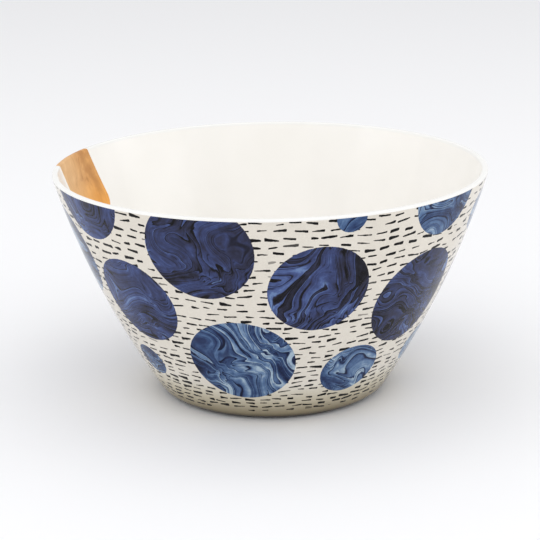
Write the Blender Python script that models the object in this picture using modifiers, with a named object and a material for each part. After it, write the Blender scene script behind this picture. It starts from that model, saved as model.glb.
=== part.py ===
"""Round turned salad bowl, in metres, +Z up, standing on z = 0 with its axis on Z.

The bowl is one solid of revolution. Its profile is worked out from the sizes below:
circular arcs that touch one another make the lip, the wall, the foot's corner and
the fillet inside, and straight runs make the floor and the underside.
"""

import math

import bmesh
import bpy

# Outside
RIM_RADIUS = 0.125
HEIGHT = 0.132
FOOT_RADIUS = 0.0587  # of the flat underside, where the corner begins
FOOT_CORNER = 0.0115  # radius of the round between the underside and the wall
WALL_CURVE = 0.500  # radius of the wall's gentle outward bow
INSIDE_CURVE = 0.460  # radius of the same bow, on the inside

# Wall and floor
LIP_THICKNESS = 0.0036
LIP_ROUND = 0.0013  # radius of the lip's two edges
WALL_AT_FLOOR = 0.0062  # thickness of the wall where it meets the floor
FLOOR_THICKNESS = 0.0075  # from the surface the bowl stands on to the floor inside
INSIDE_FILLET = 0.030

# Underside
FOOT_RING_WIDTH = 0.0115
RECESS_DEPTH = 0.0018
RECESS_SLOPE = 0.0015  # how far the recess's edge runs inwards as it rises

# Facets
TURN_STEPS = 96
LIP_STEPS = 3
WALL_STEPS = 8
CORNER_STEPS = 5
FILLET_STEPS = 6
MERGE_DISTANCE = 0.00001
SHARP_ANGLE = math.radians(40)  # a steeper turn between two faces shows as an edge

# Finish: the ivory ground of the printed outside stands for the whole bowl
BOWL_COLOUR = (0.80, 0.77, 0.71, 1.0)
BOWL_ROUGHNESS = 0.22

NAME = "bowl"


def outer_of_two(centre_a, radius_a, centre_b, radius_b):
    """Where two circles cross, at the crossing nearer to the bowl's axis and beyond."""
    along_r = centre_b[0] - centre_a[0]
    along_z = centre_b[1] - centre_a[1]
    apart = math.hypot(along_r, along_z)
    reach = (radius_a**2 - radius_b**2 + apart**2) / (2 * apart)
    side = math.sqrt(radius_a**2 - reach**2)
    crossings = [
        (
            centre_a[0] + (reach * along_r - way * side * along_z) / apart,
            centre_a[1] + (reach * along_z + way * side * along_r) / apart,
        )
        for way in (-1, 1)
    ]
    return min(crossings)


def direction(start, end):
    """The angle of the line from start to end, in the profile's plane."""
    return math.atan2(end[1] - start[1], end[0] - start[0])


def arc(centre, radius, start, end, steps):
    """Points along an arc, both ends included."""
    angles = [start + (end - start) * i / steps for i in range(steps + 1)]
    return [
        (centre[0] + radius * math.cos(a), centre[1] + radius * math.sin(a))
        for a in angles
    ]


def outside_curve():
    """Centres of the lip's outer round, the foot's corner and the wall's arc, which touches both."""
    lip = (RIM_RADIUS - LIP_ROUND, HEIGHT - LIP_ROUND)
    corner = (FOOT_RADIUS, FOOT_CORNER)
    wall = outer_of_two(
        corner, WALL_CURVE - FOOT_CORNER, lip, WALL_CURVE - LIP_ROUND
    )
    return lip, corner, wall


def outside_profile():
    """From the top of the lip, out to its widest point, down the wall and round to the underside."""
    lip, corner, wall = outside_curve()
    top = direction(wall, lip)
    bottom = direction(wall, corner)
    return (
        arc(lip, LIP_ROUND, math.pi / 2, 0.0, LIP_STEPS)
        + arc(wall, WALL_CURVE, top, bottom, WALL_STEPS)
        + arc(corner, FOOT_CORNER, bottom, -math.pi / 2, CORNER_STEPS)[1:]
    )


def inside_profile():
    """From the edge of the floor up the fillet and the wall to the top of the lip."""
    _, _, outer = outside_curve()
    outer_rise = math.asin((FLOOR_THICKNESS - outer[1]) / WALL_CURVE)
    beside_floor = (
        outer[0] + (WALL_CURVE - WALL_AT_FLOOR) * math.cos(outer_rise),
        outer[1] + (WALL_CURVE - WALL_AT_FLOOR) * math.sin(outer_rise),
    )
    lip = (RIM_RADIUS - LIP_THICKNESS + LIP_ROUND, HEIGHT - LIP_ROUND)
    wall = outer_of_two(beside_floor, INSIDE_CURVE, lip, INSIDE_CURVE + LIP_ROUND)
    fillet_height = FLOOR_THICKNESS + INSIDE_FILLET
    reach = math.sqrt((INSIDE_CURVE - INSIDE_FILLET) ** 2 - (fillet_height - wall[1]) ** 2)
    fillet = (wall[0] + reach, fillet_height)
    top = direction(wall, lip)
    bottom = direction(wall, fillet)
    return (
        arc(fillet, INSIDE_FILLET, -math.pi / 2, bottom, FILLET_STEPS)
        + arc(wall, INSIDE_CURVE, bottom, top, WALL_STEPS)[1:]
        + arc(lip, LIP_ROUND, top + math.pi, math.pi / 2, LIP_STEPS)[1:]
    )


def underside_profile():
    """From the inner edge of the foot ring up into the recess and in to the axis."""
    ring_inner = FOOT_RADIUS - FOOT_RING_WIDTH
    return [
        (ring_inner, 0.0),
        (ring_inner - RECESS_SLOPE, RECESS_DEPTH),
        (0.0, RECESS_DEPTH),
    ]


def bowl_profile():
    """The whole profile, from the middle of the floor over the lip to the middle of the underside."""
    return (
        [(0.0, FLOOR_THICKNESS)]
        + inside_profile()
        + outside_profile()
        + underside_profile()
    )


def clear_scene():
    for old in list(bpy.data.objects):
        bpy.data.objects.remove(old, do_unlink=True)


def new_collection(name):
    collection = bpy.data.collections.new(name)
    bpy.context.scene.collection.children.link(collection)
    return collection


def bowl_material():
    material = bpy.data.materials.new("enamelled_wood")
    material.use_nodes = True
    shader = material.node_tree.nodes["Principled BSDF"]
    shader.inputs["Base Color"].default_value = BOWL_COLOUR
    shader.inputs["Roughness"].default_value = BOWL_ROUGHNESS
    shader.inputs["Metallic"].default_value = 0.0
    return material


def profile_mesh():
    """The profile as a chain of edges in the XZ plane."""
    chain = bmesh.new()
    points = [chain.verts.new((r, 0.0, z)) for r, z in bowl_profile()]
    for upper, lower in zip(points, points[1:]):
        chain.edges.new((upper, lower))
    mesh = bpy.data.meshes.new(NAME)
    chain.to_mesh(mesh)
    chain.free()
    return mesh


def turn_once(bowl):
    """Turns the profile once round Z and keeps the result, smooth but for its real edges."""
    turn = bowl.modifiers.new("Turn", "SCREW")
    turn.axis = "Z"
    turn.angle = math.tau
    turn.steps = TURN_STEPS
    turn.render_steps = TURN_STEPS
    turn.use_merge_vertices = True
    turn.merge_threshold = MERGE_DISTANCE
    profile = bowl.data
    turned = bowl.evaluated_get(bpy.context.evaluated_depsgraph_get())
    bowl.data = bpy.data.meshes.new_from_object(turned)
    bowl.modifiers.clear()
    bpy.data.meshes.remove(profile)
    bowl.data.shade_smooth()
    bowl.data.set_sharp_from_angle(angle=SHARP_ANGLE)


def make_bowl(collection):
    bowl = bpy.data.objects.new(NAME, profile_mesh())
    collection.objects.link(bowl)
    turn_once(bowl)
    bowl.data.name = NAME
    bowl.data.materials.append(bowl_material())
    return bowl


def main():
    clear_scene()
    make_bowl(new_collection("salad_bowl"))


main()
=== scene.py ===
"""Looks of a round wooden salad bowl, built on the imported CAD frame, in metres.

The bowl is glossy white enamel inside and on the lip, with one patch of wood left bare.
Outside it is printed: marbled blue spots over rows of short pen strokes on ivory.
"""

import math
import random
from collections import namedtuple

import bpy
import numpy as np
from mathutils import Matrix, Vector


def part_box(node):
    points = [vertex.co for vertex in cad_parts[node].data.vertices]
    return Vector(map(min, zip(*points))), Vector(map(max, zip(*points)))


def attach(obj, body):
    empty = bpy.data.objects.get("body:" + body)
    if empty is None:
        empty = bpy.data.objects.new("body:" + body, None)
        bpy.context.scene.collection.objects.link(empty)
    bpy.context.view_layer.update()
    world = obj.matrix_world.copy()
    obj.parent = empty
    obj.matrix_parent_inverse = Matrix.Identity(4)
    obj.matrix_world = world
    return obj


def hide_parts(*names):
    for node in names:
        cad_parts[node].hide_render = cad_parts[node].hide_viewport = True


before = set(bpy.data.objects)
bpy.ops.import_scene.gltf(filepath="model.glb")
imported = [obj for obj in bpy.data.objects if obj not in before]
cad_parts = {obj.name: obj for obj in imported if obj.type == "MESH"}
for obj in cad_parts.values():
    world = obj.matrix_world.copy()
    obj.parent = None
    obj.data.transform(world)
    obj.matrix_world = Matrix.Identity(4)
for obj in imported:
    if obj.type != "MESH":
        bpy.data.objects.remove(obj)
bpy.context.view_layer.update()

# The bowl's own sizes, as in its CAD profile. The rim and the height come from the frame.
high_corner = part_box("bowl")[1]
RIM_RADIUS = high_corner.x
HEIGHT = high_corner.z
FOOT_RADIUS = 0.0587
FOOT_CORNER = 0.0115
WALL_CURVE = 0.500
INSIDE_CURVE = 0.460
LIP_THICKNESS = 0.0036
LIP_ROUND = 0.0013
WALL_AT_FLOOR = 0.0062
FLOOR_THICKNESS = 0.0075
INSIDE_FILLET = 0.030
FOOT_RING_WIDTH = 0.0115
RECESS_DEPTH = 0.0018
RECESS_SLOPE = 0.0015

# The patch left bare inside, over the lip and down the wall to a rounded lower end.
# Its sides are straight and lean a little: (height, distance round from PATCH_AZIMUTH).
PATCH_AZIMUTH = math.radians(165.2)
PATCH_LOW_SIDE = ((0.132, -0.0217), (0.103, -0.0255))
PATCH_HIGH_SIDE = ((0.132, 0.0265), (0.096, 0.0180))
PATCH_END = 0.093  # height of its lower end
PATCH_CORNER = 0.010
ENAMEL_THICKNESS = 0.00018
ENAMEL_EDGE = 0.00030  # how far the enamel's edge takes to round down to the wood
ENAMEL_EDGE_LEAST = 0.0001  # its least width, where the patch's rounded corners narrow it

# The print's spots: radius, how many, and the share of them that is dark
SPOT_SIZES = [
    (0.0285, 9, 0.75),
    (0.0240, 6, 0.6),
    (0.0175, 6, 0.2),
    (0.0115, 9, 0.1),
    (0.0085, 6, 0.2),
]
SPOT_SIZE_SPREAD = (0.92, 1.08)  # the least and most of that radius that a spot has
BLOB_RADIUS = 0.0064  # of the small solid spots with a rough edge
BLOBS = 3
SPOT_GAP = 0.005  # the least between two spots
SPOT_GAP_WANTED = (0.0055, 0.013)
SPOT_TRIES = 600
SPOT_SEED = 3
SPOT_OVER_RIM = 0.25  # how much of its radius a spot's middle may lie above the rim
SPOT_ABOVE_FOOT = 0.007
DARK, PALE, SOLID = 0.0, 1.0, 2.0
SPOT_EDGE_ROUGH = 0.0004  # how far in all the noise moves the edge of every spot
SOLID_EDGE_ROUGH = 0.0055  # and that of the small solid ones besides
PRINT_EDGE = 0.00008  # half the width over which an edge of the print goes from ink to ground
FAR = 1.0  # a distance beyond everything on the bowl

# The marbling, in coordinates of its own
SPOT_UNIT = 0.010  # the length that counts as 1
SPOT_LAYERS_APART = 7.0  # each spot has a layer of the noise to itself
FOLD_REACH = 5.5  # how far in all the noise folds the ribbons, and then curls them
CURL_REACH = 1.5
RIBBONS = 10.5  # in the noise's whole range
STRAND_DRIFT = 5.0

# The print's strokes, in rows that lie closer together towards the foot
LOW_WALL_SHADE_HEIGHT = 0.055  # how far up from the foot's underside painted shade darkens the ivory
ROW_AT_RIM = 0.0050
ROW_AT_FOOT = 0.0031
ROW_CUT_OFF = 0.3  # how much of the first row the rim cuts off
ROW_WAVE = 0.9  # how far in all the noise moves the rows up and down, in rows
STROKES_AT_RIM = 80
STROKES_LOST_EACH_ROW = 0.7
STROKE_HALF_LENGTH = (0.20, 0.45)  # in cells
STROKE_HALF_THICK = (0.00040, 0.00098)
STROKE_WOBBLE = 0.0009  # how far in all the noise changes that thickness
STROKE_SAG = 0.34  # how far in all a stroke may lie off its row's middle, in rows
STROKE_TILT = 0.15
STROKE_ROUND = 0.00035  # of a stroke's blunt corners
STROKES_END = 0.0115  # how far up from the foot's underside the strokes stop
STROKES_FADE = 0.003  # over how much above that they get fewer
STROKES_MISSING = 0.05  # the share that is missing elsewhere

# Finer relief, in the materials' bump
ENAMEL_WAVES = 0.00002
GRAIN_DEPTH = 0.00005
LIP_PAINTED_SHADE_BELOW_TOP = (0.0022, 0.0008)  # where the lip's painted shade, a cooler grey, starts and is full

# The camera, fitted to the photograph's outline
IMAGE_SIZE = 540
FOCAL_PIXELS = 1703.0
CAMERA_DISTANCE = 1.0
CAMERA_RISE = math.radians(16.48)
CAMERA_ROLL = -0.0154
AIM_HEIGHT = 0.0686
AIM_ASIDE = -0.0009
SENSOR_WIDTH = 36.0
VIEW_END = 20.0

# Light, and the floor
WORLD_COLOUR = (0.985, 0.988, 1.0, 1.0)
HORIZON_LIGHT = 0.91
ZENITH_LIGHT = 0.80
# Name, place, the point aimed at, size and power
AREA_LIGHTS = [
    ("overhead", (0.0, -0.2, 1.8), (0.0, 0.0, 0.0), (1.6, 1.6), 6.2),
    ("front", (0.0, -1.3, 1.3), (0.0, 0.0, 0.03), (1.6, 1.2), 4.4),
    ("left", (-1.7, -0.3, 0.6), (0.0, 0.0, 0.03), (1.4, 1.0), 4.1),
    ("right", (1.7, -0.3, 0.6), (0.0, 0.0, 0.03), (1.4, 1.0), 4.7),
]
FLOOR_WIDTH = 12.0

# Mesh fineness: columns round the bowl, and steps along each stretch of the profile
PATCH_COLUMNS = 30
OTHER_COLUMNS = 338
COLUMNS = PATCH_COLUMNS + OTHER_COLUMNS
STEPS = {
    "floor": 10,
    "fillet": 14,
    "inside_low": 23,
    "patch_corner": 8,  # low in the stretch "inside", where the patch's corners are rounded
    "inside": 18,
    "lip_in": 7,
    "lip_top": 1,
    "lip_out": 6,
    "wrap": 1,
    "outside": 84,
    "corner": 14,
    "ring": 4,
    "slope": 1,
    "recess": 8,
}
SAME_PLACE = 1e-7  # rings closer than this are one
PAINTED_SHADE_BANDS = 5  # of the foot's corner, next to its underside, given a dark brown painted shade for the contact
BARE_SHARE = 0.55  # of the way from the floor's middle to the print, where the patch's map begins

# Materials on the bowl, in the order of its slots; the last one is painted shade at the foot's edge
ENAMEL, PRINT, WOOD, PAINTED_SHADE_SLOT = 0, 1, 2, 3

INSIDE_STRETCHES = ("floor", "fillet", "inside_low", "inside", "lip_in", "lip_top", "lip_out")
BARE_STRETCHES = ("inside", "lip_in", "lip_top", "lip_out")
PRINT_STRETCHES = ("wrap", "outside", "corner")

# Boxes of the texture map: left, low, right, high
MAP_QUARTERS = [(0.003, 0.003, 0.497, 0.357), (0.503, 0.003, 0.997, 0.357),
                (0.003, 0.363, 0.497, 0.717), (0.503, 0.363, 0.997, 0.717)]
MAP_INSIDE = (0.003, 0.725, 0.497, 0.997)
MAP_PATCH = (0.505, 0.725, 0.735, 0.997)
MAP_UNDER = (0.745, 0.725, 0.997, 0.977)


def srgb(red, green, blue):
    """A display colour, 0 to 255 a channel, as the linear colour that shaders take."""
    shares = (channel / 255 for channel in (red, green, blue))
    linear = (s / 12.92 if s <= 0.04045 else ((s + 0.055) / 1.055) ** 2.4 for s in shares)
    return (*linear, 1.0)


class Graph:
    """A material's node tree, written one call a node. An input is a number, a colour or an output."""

    def __init__(self, name):
        self.material = bpy.data.materials.new(name)
        self.material.use_nodes = True
        self.tree = self.material.node_tree
        self.shader = self.tree.nodes["Principled BSDF"]

    def put(self, socket, value):
        if isinstance(value, bpy.types.NodeSocket):
            self.tree.links.new(value, socket)
        else:
            socket.default_value = value

    def node(self, kind, inputs=None, **settings):
        made = self.tree.nodes.new(kind)
        for name, value in settings.items():
            setattr(made, name, value)
        for key, value in (inputs or {}).items():
            self.put(made.inputs[key], value)
        return made

    def math(self, operation, first, second=0.0, third=0.0):
        values = {0: first, 1: second, 2: third}
        return self.node("ShaderNodeMath", values, operation=operation).outputs[0]

    def vector(self, operation, first, second=(0.0, 0.0, 0.0)):
        return self.node("ShaderNodeVectorMath", {0: first, 1: second}, operation=operation).outputs[0]

    def plus(self, first, second):
        return self.math("ADD", first, second)

    def minus(self, first, second):
        return self.math("SUBTRACT", first, second)

    def times(self, first, second):
        return self.math("MULTIPLY", first, second)

    def over(self, first, second):
        return self.math("DIVIDE", first, second)

    def hypot(self, x, y):
        return self.math("SQRT", self.plus(self.times(x, x), self.times(y, y)))

    def joined(self, x=0.0, y=0.0, z=0.0):
        return self.node("ShaderNodeCombineXYZ", {"X": x, "Y": y, "Z": z}).outputs[0]

    def parts(self, vector):
        return self.node("ShaderNodeSeparateXYZ", {0: vector}).outputs

    def place(self):
        return self.node("ShaderNodeTexCoord").outputs["Object"]

    def attribute(self, name, output="Fac"):
        return self.node("ShaderNodeAttribute", attribute_name=name).outputs[output]

    def noise(self, place, scale, detail=2.0, roughness=0.5, output="Fac"):
        inputs = {"Vector": place, "Scale": scale, "Detail": detail, "Roughness": roughness}
        return self.node("ShaderNodeTexNoise", inputs).outputs[output]

    def stretched_noise(self, place, scales, detail, roughness=0.5):
        """Noise with a scale of its own along each axis."""
        scaled = self.vector("MULTIPLY", place, scales)
        return self.noise(scaled, 1.0, detail=detail, roughness=roughness)

    def drift(self, place, scale, detail, reach):
        """Noise about zero, by half of reach to each side at most."""
        return self.times(self.minus(self.noise(place, scale, detail=detail), 0.5), reach)

    def bent(self, place, scale, detail, reach):
        """The place moved about by noise, by half of reach to each side at most."""
        noise = self.noise(place, scale, detail=detail, output="Color")
        off_middle = self.vector("SUBTRACT", noise, (0.5, 0.5, 0.5))
        return self.vector("ADD", place, self.vector("MULTIPLY", off_middle, reach))

    def random(self, place):
        """Three even random numbers for each whole-numbered place."""
        return self.parts(self.node("ShaderNodeTexWhiteNoise", {"Vector": place}).outputs["Color"])

    def spread(self, value, low, high, to_low=0.0, to_high=1.0, smooth=False):
        made = self.node(
            "ShaderNodeMapRange",
            {"Value": value, "From Min": low, "From Max": high, "To Min": to_low, "To Max": to_high},
            interpolation_type="SMOOTHSTEP" if smooth else "LINEAR",
        )
        return made.outputs["Result"]

    def inside_edge(self, distance):
        """1 where a distance outside an edge of the print is below zero, 0 above, with a soft step."""
        return self.spread(distance, -PRINT_EDGE, PRINT_EDGE, 1.0, 0.0, smooth=True)

    def curve(self, value, points):
        """A smooth curve through the points, the first of them at 0 and the last at 1."""
        made = self.node("ShaderNodeFloatCurve", {"Value": value})
        line = made.mapping.curves[0]
        line.points[0].location = points[0]
        line.points[1].location = points[-1]
        for point in points[1:-1]:
            line.points.new(*point)
        made.mapping.update()
        return made.outputs[0]

    def ramp(self, value, stops, smooth=True):
        made = self.node("ShaderNodeValToRGB", {0: value})
        band = made.color_ramp
        band.interpolation = "EASE" if smooth else "LINEAR"
        while len(band.elements) > 1:
            band.elements.remove(band.elements[-1])
        band.elements[0].position = stops[0][0]
        band.elements[0].color = stops[0][1]
        for position, colour in stops[1:]:
            band.elements.new(position).color = colour
        return made.outputs["Color"]

    def mix(self, share, first, second, blend="MIX"):
        made = self.node("ShaderNodeMix", data_type="RGBA", blend_type=blend)
        self.put(made.inputs["Factor"], share)
        self.put(made.inputs[6], first)
        self.put(made.inputs[7], second)
        return made.outputs[2]

    def bump(self, height, distance, strength=1.0):
        made = self.node("ShaderNodeBump", {"Height": height, "Distance": distance, "Strength": strength})
        self.put(self.shader.inputs["Normal"], made.outputs[0])

    def finish(self, colour, **values):
        """The shader's colour, and its plain values by name with underscores for spaces."""
        self.put(self.shader.inputs["Base Color"], colour)
        for name, value in values.items():
            self.put(self.shader.inputs[name.replace("_", " ")], value)
        return self.material


# The profile


def outer_of_two(centre_a, radius_a, centre_b, radius_b):
    """Where two circles cross, at the crossing nearer to the bowl's axis and beyond."""
    along_r = centre_b[0] - centre_a[0]
    along_z = centre_b[1] - centre_a[1]
    apart = math.hypot(along_r, along_z)
    reach = (radius_a**2 - radius_b**2 + apart**2) / (2 * apart)
    side = math.sqrt(radius_a**2 - reach**2)
    crossings = [
        (
            centre_a[0] + (reach * along_r - way * side * along_z) / apart,
            centre_a[1] + (reach * along_z + way * side * along_r) / apart,
        )
        for way in (-1, 1)
    ]
    return min(crossings)


def direction(start, end):
    return math.atan2(end[1] - start[1], end[0] - start[0])


def arc(centre, radius, angles, hollow=False):
    """Rows of (radius, height, normal's radius, normal's height), with the normal turned in if hollow."""
    out = np.stack([np.cos(angles), np.sin(angles)], 1)
    return np.hstack([np.array(centre) + radius * out, -out if hollow else out])


def run(start, end, normal, steps):
    """A straight stretch of the profile, in the same kind of rows."""
    share = np.linspace(0, 1, steps + 1)[:, None]
    line = np.array(start) * (1 - share) + np.array(end) * share
    return np.hstack([line, np.tile(normal, (steps + 1, 1))])


def profile():
    """Stretches of the profile by name, from the floor's middle over the lip to the underside's middle."""

    def angles(name, start, end):
        return np.linspace(start, end, STEPS[name] + 1)

    lip_out = (RIM_RADIUS - LIP_ROUND, HEIGHT - LIP_ROUND)
    corner = (FOOT_RADIUS, FOOT_CORNER)
    outside = outer_of_two(corner, WALL_CURVE - FOOT_CORNER, lip_out, WALL_CURVE - LIP_ROUND)

    rise = math.asin((FLOOR_THICKNESS - outside[1]) / WALL_CURVE)
    reach = WALL_CURVE - WALL_AT_FLOOR
    beside_floor = (outside[0] + reach * math.cos(rise), outside[1] + reach * math.sin(rise))
    lip_in = (RIM_RADIUS - LIP_THICKNESS + LIP_ROUND, HEIGHT - LIP_ROUND)
    inside = outer_of_two(beside_floor, INSIDE_CURVE, lip_in, INSIDE_CURVE + LIP_ROUND)
    fillet_height = FLOOR_THICKNESS + INSIDE_FILLET
    fillet_reach = math.sqrt((INSIDE_CURVE - INSIDE_FILLET) ** 2 - (fillet_height - inside[1]) ** 2)
    fillet = (inside[0] + fillet_reach, fillet_height)

    up, down = math.pi / 2, -math.pi / 2
    out_top, out_low = direction(outside, lip_out), direction(outside, corner)
    in_top, in_low = direction(inside, lip_in), direction(inside, fillet)
    turns = 1 - np.cos(angles("patch_corner", 0, math.pi / 2))
    corner_heights = PATCH_END + ENAMEL_EDGE + (PATCH_CORNER - ENAMEL_EDGE) * turns
    corner_rises = np.arcsin((np.append(PATCH_END, corner_heights) - inside[1]) / INSIDE_CURVE)
    bare_rises = np.append(corner_rises, angles("inside", corner_rises[-1], in_top)[1:])
    ring_inner = FOOT_RADIUS - FOOT_RING_WIDTH
    recess_edge = ring_inner - RECESS_SLOPE
    slope = math.hypot(RECESS_SLOPE, RECESS_DEPTH)
    slope_normal = (-RECESS_DEPTH / slope, -RECESS_SLOPE / slope)
    return {
        "floor": run((0.0, FLOOR_THICKNESS), (fillet[0], FLOOR_THICKNESS), (0, 1), STEPS["floor"]),
        "fillet": arc(fillet, INSIDE_FILLET, angles("fillet", down, in_low), hollow=True),
        "inside_low": arc(inside, INSIDE_CURVE, angles("inside_low", in_low, corner_rises[0]), hollow=True),
        "inside": arc(inside, INSIDE_CURVE, bare_rises, hollow=True),
        "lip_in": arc(lip_in, LIP_ROUND, angles("lip_in", in_top + math.pi, up)),
        "lip_top": run((lip_in[0], HEIGHT), (lip_out[0], HEIGHT), (0, 1), STEPS["lip_top"]),
        "lip_out": arc(lip_out, LIP_ROUND, angles("lip_out", up, 0.0)),
        "wrap": arc(lip_out, LIP_ROUND, angles("wrap", 0.0, out_top)),
        "outside": arc(outside, WALL_CURVE, angles("outside", out_top, out_low)),
        "corner": arc(corner, FOOT_CORNER, angles("corner", out_low, down)),
        "ring": run((FOOT_RADIUS, 0.0), (ring_inner, 0.0), (0, -1), STEPS["ring"]),
        "slope": run((ring_inner, 0.0), (recess_edge, RECESS_DEPTH), slope_normal, STEPS["slope"]),
        "recess": run((recess_edge, RECESS_DEPTH), (0.0, RECESS_DEPTH), (0, -1), STEPS["recess"]),
    }


def distances_along(points):
    """How far along a line of points each of them lies."""
    return np.append(0.0, np.cumsum(np.linalg.norm(np.diff(points, axis=0), axis=1)))


# The print's layout


class Wall:
    """The printed wall's profile by the distance down it from the bowl's widest ring."""

    def __init__(self):
        self.rows = np.vstack([profile()[name][:, :2] for name in PRINT_STRETCHES])
        self.distances = distances_along(self.rows)
        self.length = self.distances[-1]

    def point(self, down, azimuth):
        """A point on the wall, and the directions across it and down it.

        Above the rim the wall runs on straight.
        """
        step = 0.001
        above, below = max(down, 0.0), max(down, 0.0) + step
        radius, height = (np.interp(above, self.distances, self.rows[:, i]) for i in (0, 1))
        low_radius, low_height = (np.interp(below, self.distances, self.rows[:, i]) for i in (0, 1))
        slope = np.array([low_radius - radius, low_height - height]) / step
        radius, height = np.array([radius, height]) + min(down, 0.0) * slope
        out = np.array([math.cos(azimuth), math.sin(azimuth), 0.0])
        across = np.array([-math.sin(azimuth), math.cos(azimuth), 0.0])
        return out * radius + np.array([0, 0, height]), across, out * slope[0] + np.array([0, 0, slope[1]])


Spot = namedtuple("Spot", "middle across down radius kind")


def scatter_spots(wall):
    """Spots from large to small. Each goes where its gap to the nearest one is closest to what it draws."""
    chance = random.Random(SPOT_SEED)
    spots = []

    def add(radius, kind):
        wanted = chance.uniform(*SPOT_GAP_WANTED)
        lowest = wall.length - FOOT_CORNER - SPOT_ABOVE_FOOT - radius
        least_miss, best = FAR, None
        for _ in range(SPOT_TRIES):
            down = chance.uniform(-SPOT_OVER_RIM * radius, lowest)
            place = wall.point(down, chance.uniform(0.0, math.tau))
            gaps = [math.dist(place[0], spot.middle) - spot.radius - radius for spot in spots]
            gap = min(gaps, default=FAR)
            miss = abs(gap - wanted)
            if gap >= SPOT_GAP and miss < least_miss:
                least_miss, best = miss, place
        if best:
            spots.append(Spot(*best, radius, kind))

    for radius, count, dark in SPOT_SIZES:
        for _ in range(count):
            size = radius * chance.uniform(*SPOT_SIZE_SPREAD)
            add(size, DARK if chance.random() < dark else PALE)
    for _ in range(BLOBS):
        add(BLOB_RADIUS, SOLID)
    return spots


def print_values(points, wall):
    """How far each point is outside its nearest spot, its place in that spot, and the spot's kind."""
    edge = np.full(len(points), FAR)
    place = np.zeros((len(points), 3))
    kind = np.zeros(len(points))
    chance = random.Random(SPOT_SEED + 1)
    for number, spot in enumerate(scatter_spots(wall), 1):
        turn = chance.uniform(0.0, math.tau)
        flow = spot.across * math.cos(turn) + spot.down * math.sin(turn)
        against = spot.down * math.cos(turn) - spot.across * math.sin(turn)
        offset = points - spot.middle
        distance = np.linalg.norm(offset, axis=1) - spot.radius
        nearer = distance < edge
        local = np.stack([offset @ flow / SPOT_UNIT, offset @ against / SPOT_UNIT], 1)
        edge[nearer] = distance[nearer]
        place[nearer, :2] = local[nearer]
        place[nearer, 2] = SPOT_LAYERS_APART * number
        kind[nearer] = spot.kind
    return edge, place, kind


# The bowl's mesh

# What lies between two rings: their numbers, the profile's normals there and the stretch's name
Band = namedtuple("Band", "first second first_normal second_normal stretch")


def chain():
    """The profile's rings (radius, height), and the bands between them."""
    rings, bands = [], []
    for stretch, rows in profile().items():
        before = None
        for row in rows:
            if not rings or math.dist(rings[-1], row[:2]) > SAME_PLACE:
                rings.append(tuple(row[:2]))
            here = (len(rings) - 1, row[2:])
            if before:
                bands.append(Band(before[0], here[0], before[1], here[1], stretch))
            before = here
    return np.array(rings), bands


def corner_inset(height, end, corner):
    """How far a rounded lower corner takes the patch's side inwards at a height."""
    below = min(max(end + corner - height, 0.0), corner)
    return corner - math.sqrt(corner**2 - below**2)


def patch_columns(height):
    """How far round from the patch's azimuth its columns are at a height, with the enamel's edges."""
    low, high = (
        np.interp(max(height, PATCH_END), *zip(*sorted(side)))
        for side in (PATCH_LOW_SIDE, PATCH_HIGH_SIDE)
    )
    outer = corner_inset(max(height, PATCH_END), PATCH_END, PATCH_CORNER)
    inner = ENAMEL_EDGE + corner_inset(height, PATCH_END + ENAMEL_EDGE, PATCH_CORNER - ENAMEL_EDGE)
    inner = max(inner, outer + ENAMEL_EDGE_LEAST)
    within = np.linspace(low + inner, high - inner, PATCH_COLUMNS - 2)
    return np.concatenate([[low + outer], within, [high - outer]])


def column_angles(radius, height):
    """The azimuths of a ring's columns: across the patch, then on round the bowl."""
    patch = np.arcsin(patch_columns(height) / radius)
    others = np.linspace(patch[-1], patch[0] + math.tau, OTHER_COLUMNS + 2)[1:-1]
    return PATCH_AZIMUTH + np.concatenate([patch, others])


def sunk_rings(bands):
    """The rings where the bare wood lies below the enamel's level: all but its first and last."""
    rings = sorted({ring for band in bands if band.stretch in BARE_STRETCHES for ring in band[:2]})
    return rings[1:-1]


def make_points(rings, bands):
    """Every ring's points, rings by columns by three."""
    stretches = {ring: band.stretch for band in bands for ring in band[:2]}
    normals = np.zeros((len(rings), 2))
    for band in bands:
        normals[band.first] += band.first_normal
        normals[band.second] += band.second_normal
    normals /= np.linalg.norm(normals, axis=1, keepdims=True)

    sunk = sunk_rings(bands)
    end_radius = rings[sunk[0] - 1, 0]
    points = []
    for number, (radius, height) in enumerate(rings):
        if stretches[number] in INSIDE_STRETCHES:
            angles = column_angles(max(radius, end_radius), height)
        else:
            angles = column_angles(RIM_RADIUS, HEIGHT)
        depth = np.zeros(COLUMNS)
        if number in sunk:
            depth[1 : PATCH_COLUMNS - 1] = ENAMEL_THICKNESS
        reach = radius - depth * normals[number, 0]
        rise = height - depth * normals[number, 1]
        points.append(np.stack([reach * np.cos(angles), reach * np.sin(angles), rise], 1))
    return np.array(points)


def number_points(count):
    """The rings' vertex numbers, rings by columns. The first and the last ring are one vertex each."""
    last = count - 1
    numbers = 1 + np.arange(-COLUMNS, last * COLUMNS).reshape(count, COLUMNS)
    numbers[0] = 0
    numbers[last] = numbers[last - 1, -1] + 1
    return numbers


def on_vertices(values):
    """Values given rings by columns, in the order of the vertices."""
    between = values[1:-1].reshape(-1, *values.shape[2:])
    return np.concatenate([values[:1, 0], between, values[-1:, 0]])


def in_box(box, x, y):
    """Shares across and up a box of the texture map as map coordinates."""
    return np.stack([box[0] + (box[2] - box[0]) * x, box[1] + (box[3] - box[1]) * y], 1)


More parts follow.
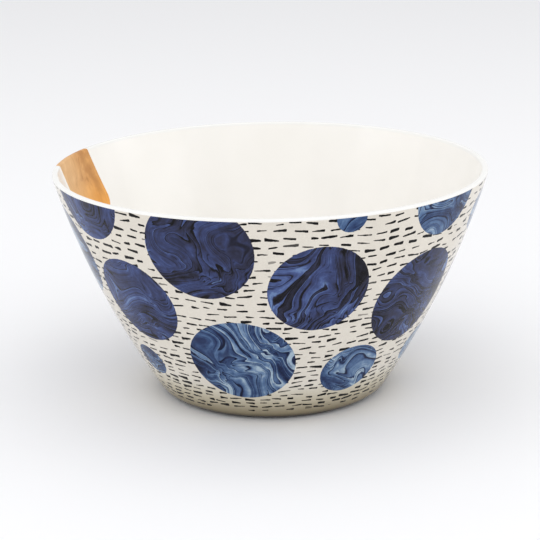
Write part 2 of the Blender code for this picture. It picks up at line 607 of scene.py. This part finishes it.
def band_map(stretch, share, faces, columns, points):
    """Map coordinates of one corner of each of a band's faces, on the given columns."""
    if stretch in PRINT_STRETCHES:
        quarter = COLUMNS // len(MAP_QUARTERS)
        which = np.minimum(faces // quarter, len(MAP_QUARTERS) - 1)
        boxes = np.array(MAP_QUARTERS)[which]
        return in_box(boxes.T, (columns - which * quarter) / quarter, 1 - share)
    if stretch in INSIDE_STRETCHES:
        spread = in_box(MAP_INSIDE, columns / COLUMNS, share)
        if stretch in BARE_STRETCHES:
            patch = faces < PATCH_COLUMNS - 1
            up_patch = (share[patch] - BARE_SHARE) / (1 - BARE_SHARE)
            spread[patch] = in_box(MAP_PATCH, columns[patch] / (PATCH_COLUMNS - 1), up_patch)
        return spread
    across_foot = 2 * FOOT_RADIUS
    return in_box(MAP_UNDER, 0.5 + points[:, 0] / across_foot, 0.5 + points[:, 1] / across_foot)


def slope_shares(rings, bands):
    """Each ring's share of the way along the inside, the print or the underside."""
    distances = distances_along(rings)
    shares = {}
    groups = {name: 0 for name in INSIDE_STRETCHES} | {name: 1 for name in PRINT_STRETCHES}
    for group in (0, 1, 2):
        members = [band for band in bands if groups.get(band.stretch, 2) == group]
        start, end = distances[members[0].first], distances[members[-1].second]
        for band in members:
            shares[band[:2]] = [(distances[ring] - start) / (end - start) for ring in band[:2]]
    return shares


def band_slots(stretch, sunk, dark):
    """The material slot of each of a band's faces."""
    if stretch in PRINT_STRETCHES:
        # dark marks the foot's lowest bands, which take the painted-shade material
        usual = PAINTED_SHADE_SLOT if dark else PRINT
    else:
        usual = ENAMEL if stretch in INSIDE_STRETCHES else WOOD
    slots = np.full(COLUMNS, usual)
    if stretch in BARE_STRETCHES and sunk:
        slots[1 : PATCH_COLUMNS - 2] = WOOD
    return slots


def edge_faces(stretch, sunk):
    """Which of a band's faces are the enamel's edge round the patch."""
    edged = np.zeros(COLUMNS, bool)
    if stretch in BARE_STRETCHES:
        edged[[0, PATCH_COLUMNS - 2]] = True
        if not sunk:
            edged[: PATCH_COLUMNS - 1] = True
    return edged


def make_faces(rings, bands, points, numbers):
    """The faces' vertices and material slots, and the normals and map coordinates of their corners."""
    shares = slope_shares(rings, bands)
    sunk = sunk_rings(bands)
    # The foot's lowest bands, which are given painted shade
    foot_shade_bands = [band[:2] for band in bands if band.stretch == "corner"][-PAINTED_SHADE_BANDS:]
    last = len(rings) - 1
    now = np.arange(COLUMNS)
    after = now + 1
    faces, slots, normals, maps = [], [], [], []
    for band in bands:
        first, second, first_normal, second_normal, stretch = band
        ends = [
            (first, first_normal, now),
            (second, second_normal, now),
            (second, second_normal, after),
            (first, first_normal, after),
        ]
        if first == 0:
            ends.pop(3)
        if second == last:
            ends.pop(2)
        faces += np.stack([numbers[ring, columns % COLUMNS] for ring, _, columns in ends], 1).tolist()
        slots.append(band_slots(stretch, first in sunk, band[:2] in foot_shade_bands))
        edged = edge_faces(stretch, first in sunk)
        corner_normals, corner_maps = [], []
        for ring, (out, up), columns in ends:
            place = points[ring, columns % COLUMNS]
            angles = np.arctan2(place[:, 1], place[:, 0])
            if ring in (0, last):
                angles = np.zeros(COLUMNS)
            turned = np.stack([out * np.cos(angles), out * np.sin(angles), np.full(COLUMNS, up)], 1)
            turned[edged] = 0.0  # a normal of zero leaves the corner the mesh's own
            corner_normals.append(turned)
            share = np.full(COLUMNS, shares[first, second][0 if ring == first else 1])
            corner_maps.append(band_map(stretch, share, now, columns, place))
        normals.append(np.stack(corner_normals, 1).reshape(-1, 3))
        maps.append(np.stack(corner_maps, 1).reshape(-1, 2))
    return faces, np.concatenate(slots), np.vstack(normals), np.vstack(maps)


def add_attributes(mesh, rings, bands, numbers, vertices):
    """What the print's material reads: the distance down the wall, and the nearest spot's values."""
    distances = distances_along(rings)
    widest = next(band.first for band in bands if band.stretch == "wrap")
    down = np.maximum(distances - distances[widest], 0.0)
    down = on_vertices(np.repeat(down, COLUMNS).reshape(-1, COLUMNS))
    edge, place, kind = print_values(vertices, Wall())
    edge[: numbers[widest, 0]] = FAR
    layers = {"down_wall": down, "spot_edge": edge, "spot_kind": kind, "spot_place": place}
    for name, values in layers.items():
        single = values.ndim == 1
        layer = mesh.attributes.new(name, "FLOAT" if single else "FLOAT_VECTOR", "POINT")
        values = np.ascontiguousarray(values, np.float32).ravel()
        layer.data.foreach_set("value" if single else "vector", values)


def make_bowl():
    """The bowl as one closed mesh of rings and columns, with the profile's own smooth normals."""
    rings, bands = chain()
    points = make_points(rings, bands)
    numbers = number_points(len(rings))
    vertices = on_vertices(points)
    faces, slots, normals, maps = make_faces(rings, bands, points, numbers)

    mesh = bpy.data.meshes.new("salad_bowl")
    mesh.from_pydata(vertices.tolist(), [], faces)
    mesh.shade_smooth()
    mesh.polygons.foreach_set("material_index", slots.astype(np.int32))
    layer = mesh.uv_layers.new(name="OFBake")
    layer.uv.foreach_set("vector", maps.astype(np.float32).ravel())
    mesh.normals_split_custom_set(normals.tolist())
    add_attributes(mesh, rings, bands, numbers, vertices)

    bowl = bpy.data.objects.new("salad_bowl", mesh)
    bpy.context.scene.collection.objects.link(bowl)
    return bowl


# Materials

RICH_WOOD = [(0.36, srgb(178, 121, 66)), (0.50, srgb(207, 150, 88)), (0.64, srgb(226, 170, 102))]
SOFT_WOOD = [(0.36, srgb(202, 152, 100)), (0.50, srgb(220, 174, 122)), (0.64, srgb(231, 189, 137))]
DARK_MARBLING = [
    (0.06, srgb(12, 11, 15)),
    (0.24, srgb(33, 33, 45)),
    (0.40, srgb(46, 48, 70)),
    (0.54, srgb(52, 59, 93)),
    (0.70, srgb(62, 74, 118)),
    (0.88, srgb(80, 98, 146)),
    (1.00, srgb(104, 128, 172)),
]
PALE_MARBLING = [
    (0.06, srgb(14, 22, 48)),
    (0.24, srgb(32, 46, 82)),
    (0.40, srgb(54, 75, 114)),
    (0.56, srgb(78, 104, 142)),
    (0.70, srgb(106, 132, 165)),
    (0.88, srgb(166, 185, 200)),
]
# Painted shade darkening the ivory towards the foot, by the share of the shaded height above the foot's
# underside
LOW_WALL_PAINTED_SHADE = [
    (0.12, srgb(54, 46, 35)),
    (0.165, srgb(112, 102, 82)),
    (0.20, srgb(140, 130, 107)),
    (0.25, srgb(158, 148, 126)),
    (0.36, srgb(191, 182, 160)),
    (0.50, srgb(212, 205, 188)),
    (1.00, srgb(255, 255, 255)),
]
# How light a ribbon of the marbling is, by the share of the way across it
RIBBON_LIGHT = [
    (0.0, 0.05),
    (0.04, 0.20),
    (0.11, 0.42),
    (0.42, 0.52),
    (0.76, 0.62),
    (0.89, 0.72),
    (0.94, 0.06),
    (1.0, 0.02),
]


def enamel():
    g = Graph("white_enamel")
    place = g.place()
    cloud = g.noise(place, 22.0, detail=3.0)
    colour = g.mix(g.spread(cloud, 0.3, 0.7), srgb(239, 237, 232), srgb(243, 241, 237))
    # Painted shade: the lip's top and rounds are greyed a little, where the light falls brightest
    starts, full = (HEIGHT - below for below in LIP_PAINTED_SHADE_BELOW_TOP)
    lip = g.spread(g.parts(place)[2], starts, full, 0.0, 0.5, smooth=True)
    colour = g.mix(lip, colour, srgb(233, 234, 233))
    g.bump(g.noise(place, 160.0, detail=1.0), ENAMEL_WAVES)
    values = {"Specular_IOR_Level": 0.0, "Coat_Weight": 0.6, "Coat_Roughness": 0.06, "Coat_IOR": 1.45}
    return g.finish(colour, Roughness=0.4, **values)


def wood():
    """Honey-coloured wood with its grain up and down the bowl, paler at one side and richer low down.

    Here x points out through the patch's middle, y round the bowl and z up, all in metres.
    """
    g = Graph("honey_wood")
    inputs = {"Vector": g.place(), "Angle": -PATCH_AZIMUTH}
    turned = g.node("ShaderNodeVectorRotate", inputs, rotation_type="Z_AXIS")
    x, y, z = g.parts(turned.outputs[0])
    place = g.joined(x, g.math("MULTIPLY_ADD", z, 0.18, y), z)
    bent = g.bent(place, 45.0, 2.0, (0.014, 0.014, 0.014))
    streak = g.stretched_noise(bent, (25.0, 130.0, 25.0), 2.5)
    fine = g.stretched_noise(bent, (70.0, 600.0, 70.0), 3.0, 0.6)
    figure = g.noise(bent, 85.0, detail=4.0, roughness=0.6)

    # Straight grain on the underside, softly mottled in the patch
    tone = g.mix(g.spread(z, 0.04, 0.06, 0.25, 0.65), streak, figure)
    rich, soft = g.ramp(tone, RICH_WOOD), g.ramp(tone, SOFT_WOOD)
    colour = g.mix(g.spread(y, -0.018, 0.012, smooth=True), rich, soft)

    # Orange in the lower part of the patch, and none on the underside
    lower = g.spread(z, 0.099, 0.121, 0.75, 0.0, smooth=True)
    lower = g.times(lower, g.math("GREATER_THAN", z, 0.05))
    orange = g.times(lower, g.spread(y, -0.020, 0.020, 1.0, 0.55))
    colour = g.mix(orange, colour, srgb(240, 166, 74))

    # A soft darker band up the patch, and dark pores along the grain
    middle = g.math("MULTIPLY_ADD", g.minus(z, 0.122), 0.30, -0.0150)
    off_band = g.math("ABSOLUTE", g.plus(g.minus(y, middle), g.drift(place, 120.0, 3.0, 0.012)))
    band = g.spread(off_band, 0.0005, 0.0055, 0.42, 0.0, smooth=True)
    shown = g.times(band, g.spread(z, 0.100, 0.110, 0.0, 1.0, smooth=True))
    colour = g.mix(shown, colour, srgb(158, 100, 50))
    colour = g.mix(g.spread(fine, 0.52, 0.74, 0.0, 0.20), colour, srgb(150, 94, 50))
    g.bump(fine, GRAIN_DEPTH, 0.5)
    return g.finish(colour, Roughness=0.5, Specular_IOR_Level=0.25)


# Painted shade: the foot's lowest edge is dark brown, with a fine grain, to stand for the contact shadow
def painted_shade_foot():
    g = Graph("painted_shade_foot_edge")
    grain = g.noise(g.place(), 300.0, detail=2.0)
    colour = g.mix(g.spread(grain, 0.3, 0.7), srgb(46, 34, 23), srgb(70, 53, 37))
    return g.finish(colour, Roughness=0.8, Specular_IOR_Level=0.1)


def stroke_ink(g, place, down, length):
    """How much of the pen strokes' ink lies here, 0 to 1.

    Rows follow the rim. Each row is cut into a whole number of cells, with one stroke a cell.
    """
    x, y, _ = g.parts(place)
    radius = g.hypot(x, y)
    turn = g.plus(g.over(g.math("ARCTAN2", y, x), math.tau), 0.5)

    # The row, and how far below its middle this is, in rows
    narrowing = (ROW_AT_RIM - ROW_AT_FOOT) / length
    spacing = g.minus(ROW_AT_RIM, g.times(down, narrowing))
    closer = g.math("LOGARITHM", g.over(ROW_AT_RIM, spacing), math.e)
    rows_down = g.times(closer, 1 / narrowing)
    row_place = g.plus(g.plus(rows_down, g.drift(place, 15.0, 1.0, ROW_WAVE)), ROW_CUT_OFF)
    row = g.math("FLOOR", row_place)
    below_row = g.minus(g.minus(row_place, row), 0.5)

    # The cell in the row, and how far from its middle this is, in cells
    row_shift = g.random(g.joined(row, 3.0, 0.0))[0]
    cells = g.math("FLOOR", g.minus(STROKES_AT_RIM, g.times(row, STROKES_LOST_EACH_ROW)))
    cell_place = g.plus(g.times(turn, cells), row_shift)
    cell = g.math("FLOOR", cell_place)
    width = g.over(g.times(radius, math.tau), cells)
    beside_cell = g.minus(g.minus(cell_place, cell), 0.5)
    number = g.math("FLOORED_MODULO", cell, cells)
    shape, manner, strength = (g.random(g.joined(number, row, draw)) for draw in (1.0, 2.0, 4.0))

    # Distances along and across the stroke, in metres
    half = g.spread(shape[0], 0.0, 1.0, *STROKE_HALF_LENGTH)
    spare = g.minus(0.5, half)
    aside = g.times(g.minus(shape[1], 0.5), g.times(spare, 1.8))
    along = g.times(g.minus(beside_cell, aside), width)
    half_length = g.times(half, width)
    sag = g.times(g.minus(shape[2], 0.5), STROKE_SAG)
    across = g.times(g.minus(below_row, sag), spacing)
    tilt = g.spread(manner[0], 0.0, 1.0, -STROKE_TILT, STROKE_TILT)
    across = g.minus(across, g.times(along, tilt))

    # Its thickness here: uneven, wedge-shaped and a little thinner at the ends
    weight = g.math("POWER", manner[1], 1.5)
    half_thick = g.spread(weight, 0.0, 1.0, *STROKE_HALF_THICK)
    half_thick = g.plus(half_thick, g.drift(place, 420.0, 2.0, STROKE_WOBBLE))
    wedge = g.times(g.spread(manner[2], 0.0, 1.0, -0.5, 0.5), g.over(along, half_length))
    half_thick = g.times(half_thick, g.plus(wedge, 1.0))
    reach = g.over(g.math("ABSOLUTE", along), half_length)
    half_thick = g.times(half_thick, g.spread(reach, 0.6, 1.0, 1.0, 0.85, smooth=True))
    past = [
        g.math("MAXIMUM", g.plus(g.minus(g.math("ABSOLUTE", off), half_size), STROKE_ROUND), 0.0)
        for off, half_size in ((along, half_length), (across, half_thick))
    ]
    ink = g.inside_edge(g.minus(g.hypot(*past), STROKE_ROUND))

    end = length - STROKES_END
    missing = g.spread(down, end - STROKES_FADE, end, STROKES_MISSING, 1.0)
    there = g.math("GREATER_THAN", strength[0], missing)
    faint = g.spread(strength[1], 0.01, 0.08, 0.55, 1.0, smooth=True)
    return g.times(ink, g.times(there, faint))


def marbling(g):
    """The marbled colours, dark and pale: ribbons folded over one another, with line-work along them."""
    place = g.attribute("spot_place", "Vector")
    folded = g.bent(place, 0.36, 0.0, (FOLD_REACH, FOLD_REACH, 0.0))
    curled = g.bent(folded, 0.80, 0.5, (CURL_REACH, CURL_REACH, 0.0))

    ribbon = g.stretched_noise(curled, (0.85, 0.13, 1.0), 1.4)
    wash = g.stretched_noise(curled, (5.0, 1.2, 1.0), 4.0, 0.68)
    zone = g.stretched_noise(folded, (0.55, 0.30, 1.0), 1.0)
    busy = g.noise(folded, 0.7, detail=1.0)
    cloud = g.noise(place, 1.6, detail=4.0, roughness=0.65)

    # Each ribbon has a tone of its own, and goes from dark at one edge to light at the other,
    # where a thin dark line ends it
    ribbons = g.plus(g.times(ribbon, RIBBONS), g.times(wash, 0.5))
    layer = g.math("ROUND", g.parts(place)[2])
    own_tone = g.random(g.joined(g.math("FLOOR", ribbons), layer, 5.0))[0]
    light = g.curve(g.math("FRACT", ribbons), RIBBON_LIGHT)
    streaky = g.plus(g.times(wash, 0.5), g.times(cloud, 0.5))
    uneven = g.plus(g.spread(streaky, 0.3, 0.7, -0.24, 0.24), g.spread(zone, 0.35, 0.65, -0.16, 0.16))
    uneven = g.plus(uneven, g.spread(own_tone, 0.0, 1.0, -0.20, 0.22))
    tone = g.plus(light, uneven)

    dark = g.ramp(tone, DARK_MARBLING, smooth=False)
    pale = g.ramp(tone, PALE_MARBLING, smooth=False)
    dark = g.mix(strands(g, curled, busy, 3.0, 0.38, 0.54), dark, srgb(20, 18, 22))
    pale = g.mix(strands(g, curled, busy, 2.6, 0.42, 0.62), pale, srgb(30, 40, 76))
    return dark, pale


def strands(g, curled, busy, each, least, most):
    """How much of the thin lines along the ribbons lies here, 0 to 1: more where they are busy."""
    across = g.parts(curled)[0]
    drift = g.stretched_noise(curled, (0.55, 0.25, 1.0), 1.0)
    place = g.plus(g.times(across, each), g.times(drift, STRAND_DRIFT))
    off_line = g.math("ABSOLUTE", g.minus(g.math("FRACT", place), 0.5))
    thin = g.spread(off_line, 0.03, 0.13, 1.0, 0.0, smooth=True)
    broken = g.spread(g.noise(curled, 1.6, detail=1.0), 0.40, 0.52, 0.0, 1.0, smooth=True)
    shown = g.spread(busy, least, most, 0.10, 0.75, smooth=True)
    return g.times(g.times(thin, broken), shown)


def printed():
    """The outside: ivory with painted shade darkening it towards the foot, strokes on it and spots over
    both.
    """
    g = Graph("printed_ivory")
    place = g.place()
    down = g.attribute("down_wall")
    length = Wall().length

    speckle = g.noise(place, 1500.0, detail=2.0)
    cloud = g.noise(place, 30.0, detail=3.0)
    ground = g.mix(g.spread(cloud, 0.3, 0.7), srgb(220, 214, 203), srgb(228, 222, 211))
    # Painted shade: the ivory darkens and browns towards the foot, where the wall turns under
    above_foot = g.times(g.minus(length, down), 1 / LOW_WALL_SHADE_HEIGHT)
    ground = g.mix(1.0, ground, g.ramp(above_foot, LOW_WALL_PAINTED_SHADE, smooth=False), blend="DARKEN")
    ground = g.mix(g.spread(speckle, 0.35, 0.65, 0.10, 0.0), ground, srgb(150, 140, 120))
    colour = g.mix(stroke_ink(g, place, down, length), ground, srgb(10, 10, 12))

    dark, pale = marbling(g)
    kind = g.attribute("spot_kind")
    is_solid = g.math("GREATER_THAN", kind, (PALE + SOLID) / 2)
    spot = g.mix(g.math("GREATER_THAN", kind, (DARK + PALE) / 2), dark, pale)
    spot = g.mix(is_solid, spot, srgb(38, 44, 86))
    torn = g.times(g.drift(place, 330.0, 4.0, SOLID_EDGE_ROUGH), is_solid)
    edge = g.plus(g.attribute("spot_edge"), g.plus(torn, g.drift(place, 900.0, 2.0, SPOT_EDGE_ROUGH)))
    colour = g.mix(g.inside_edge(edge), colour, spot)
    g.bump(g.noise(place, 120.0, detail=1.0), ENAMEL_WAVES)
    values = {"Specular_IOR_Level": 0.0, "Coat_Weight": 1.0, "Coat_Roughness": 0.08, "Coat_IOR": 1.22}
    return g.finish(colour, Roughness=0.5, **values)


# Staging


def make_floor():
    half = FLOOR_WIDTH / 2
    corners = [(-half, -half, 0), (half, -half, 0), (half, half, 0), (-half, half, 0)]
    mesh = bpy.data.meshes.new("floor")
    mesh.from_pydata(corners, [], [(0, 1, 2, 3)])
    mesh.materials.append(Graph("pale_floor").finish(srgb(244, 244, 245), Roughness=0.9))
    floor = bpy.data.objects.new("floor", mesh)
    bpy.context.scene.collection.objects.link(floor)


def area_light(name, place, aim, size, power):
    data = bpy.data.lights.new(name, "AREA")
    data.shape = "RECTANGLE"
    data.size, data.size_y = size
    data.energy = power
    light = bpy.data.objects.new(name, data)
    light.location = place
    light.rotation_euler = (Vector(aim) - Vector(place)).to_track_quat("-Z", "Y").to_euler()
    bpy.context.scene.collection.objects.link(light)


def make_world():
    """Even white light, brighter near the horizon than overhead."""
    world = bpy.data.worlds.new("studio")
    world.use_nodes = True
    tree = world.node_tree
    background = tree.nodes["Background"]
    background.inputs["Color"].default_value = WORLD_COLOUR
    height = tree.nodes.new("ShaderNodeSeparateXYZ")
    tree.links.new(tree.nodes.new("ShaderNodeTexCoord").outputs["Generated"], height.inputs[0])
    strength = tree.nodes.new("ShaderNodeMapRange")
    strength.inputs["To Min"].default_value = HORIZON_LIGHT
    strength.inputs["To Max"].default_value = ZENITH_LIGHT
    tree.links.new(height.outputs["Z"], strength.inputs["Value"])
    tree.links.new(strength.outputs["Result"], background.inputs["Strength"])
    bpy.context.scene.world = world


def make_camera():
    data = bpy.data.cameras.new("camera")
    data.sensor_width = SENSOR_WIDTH
    data.lens = FOCAL_PIXELS / IMAGE_SIZE * SENSOR_WIDTH
    data.clip_end = VIEW_END
    camera = bpy.data.objects.new("camera", data)
    back = math.cos(CAMERA_RISE) * CAMERA_DISTANCE
    rise = math.sin(CAMERA_RISE) * CAMERA_DISTANCE
    turn = Matrix.Rotation(math.pi / 2 - CAMERA_RISE, 4, "X") @ Matrix.Rotation(CAMERA_ROLL, 4, "Z")
    camera.matrix_world = Matrix.Translation((AIM_ASIDE, -back, AIM_HEIGHT + rise)) @ turn
    bpy.context.scene.collection.objects.link(camera)
    bpy.context.scene.camera = camera


make_camera()
bowl = make_bowl()
for make in (enamel, printed, wood, painted_shade_foot):
    bowl.data.materials.append(make())
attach(bowl, "root")
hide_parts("bowl")

make_floor()
make_world()
for light in AREA_LIGHTS:
    area_light(*light)
bpy.context.scene.view_settings.view_transform = "Standard"
